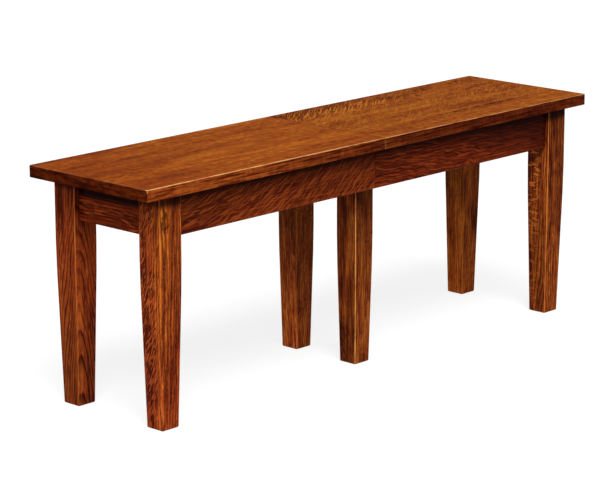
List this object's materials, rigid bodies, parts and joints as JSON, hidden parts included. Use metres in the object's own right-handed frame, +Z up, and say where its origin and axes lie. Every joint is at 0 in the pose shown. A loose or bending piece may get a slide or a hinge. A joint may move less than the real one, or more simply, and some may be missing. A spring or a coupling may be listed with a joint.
{
  "type": "mission extension bench",
  "caption": "Backless mission-style oak bench on square tapered legs; its top and aprons part at the middle and slide out on geared runners.",
  "frame": {"origin": "on the floor, at the centre of the closed bench's footprint", "axes": "+X along the bench towards its right end, +Y towards its back, +Z up"},
  "size_m": [1.246, 0.312, 0.457],
  "materials": {
    "seat_oak": "quartersawn oak, brown stain, satin clear coat",
    "frame_oak": "quartersawn oak, darker brown stain, satin clear coat",
    "inner_hardwood": "sanded and waxed, unstained",
    "plated_steel": "dull zinc plate",
    "brass": "turned, dull"
  },
  "bodies": {
    "centre_frame": {"centre_back_rail": "inner_hardwood", "centre_front_rail": "inner_hardwood", "left_bearer": "inner_hardwood", "leg_bolt_nuts": "plated_steel", "leg_bolt_washers": "plated_steel", "leg_bolts": "plated_steel", "middle_back_leg": "frame_oak", "middle_front_leg": "frame_oak", "pinion_axles": "plated_steel", "rail_screws": "plated_steel", "right_bearer": "inner_hardwood"},
    "right_half": {"latch_keeper_screw": "plated_steel", "latch_keeper_stud": "brass", "right_apron_screws": "plated_steel", "right_back_apron": "frame_oak", "right_back_brace": "inner_hardwood", "right_back_leg": "frame_oak", "right_back_runner": "inner_hardwood", "right_brace_nuts": "plated_steel", "right_brace_screws": "plated_steel", "right_brace_washers": "plated_steel", "right_end_rail": "frame_oak", "right_front_apron": "frame_oak", "right_front_brace": "inner_hardwood", "right_front_leg": "frame_oak", "right_front_runner": "inner_hardwood", "right_hanger_bolts": "plated_steel", "right_racks": "plated_steel", "right_runner_screws": "plated_steel", "right_stop_pegs": "inner_hardwood", "right_top_back_board": "seat_oak", "right_top_front_board": "seat_oak", "right_top_middle_board": "seat_oak"},
    "left_half": {"alignment_dowels": "inner_hardwood", "latch_base": "inner_hardwood", "latch_base_screws": "plated_steel", "latch_pivot_screw": "plated_steel", "left_apron_screws": "plated_steel", "left_back_apron": "frame_oak", "left_back_brace": "inner_hardwood", "left_back_leg": "frame_oak", "left_back_runner": "inner_hardwood", "left_brace_nuts": "plated_steel", "left_brace_screws": "plated_steel", "left_brace_washers": "plated_steel", "left_end_rail": "frame_oak", "left_front_apron": "frame_oak", "left_front_brace": "inner_hardwood", "left_front_leg": "frame_oak", "left_front_runner": "inner_hardwood", "left_hanger_bolts": "plated_steel", "left_racks": "plated_steel", "left_runner_screws": "plated_steel", "left_stop_pegs": "inner_hardwood", "left_top_back_board": "seat_oak", "left_top_front_board": "seat_oak"},
    "front_pinion": {"front_pinion": "brass"},
    "back_pinion": {"back_pinion": "brass"},
    "latch": {"latch_arm": "plated_steel", "latch_knob": "brass"}
  },
  "joints": [
    {"name": "right_half_slide", "type": "slide", "parent": "centre_frame", "child": "right_half", "axis": [1, 0, 0], "range_m": [0, 0.305]},
    {"name": "left_half_slide", "type": "slide", "parent": "centre_frame", "child": "left_half", "axis": [-1, 0, 0], "range_m": [0, 0.305]},
    {"name": "front_pinion_turn", "type": "hinge", "parent": "centre_frame", "child": "front_pinion", "pos_m": [0, -0.0782, 0.404], "axis": [0, 0, 1], "range_deg": [-1460, 0]},
    {"name": "back_pinion_turn", "type": "hinge", "parent": "centre_frame", "child": "back_pinion", "pos_m": [0, 0.0782, 0.404], "axis": [0, 0, 1], "range_deg": [-1460, 0]},
    {"name": "latch_turn", "type": "hinge", "parent": "left_half", "child": "latch", "pos_m": [-0.03185, 0, 0.4214], "axis": [0, 0, 1], "range_deg": [0, 90]}
  ],
  "couplings": [
    {"joint": "left_half_slide", "follows": "right_half_slide", "ratio": 1},
    {"joint": "front_pinion_turn", "follows": "right_half_slide", "rad_per_m": -83.333},
    {"joint": "back_pinion_turn", "follows": "right_half_slide", "rad_per_m": -83.333}
  ]
}
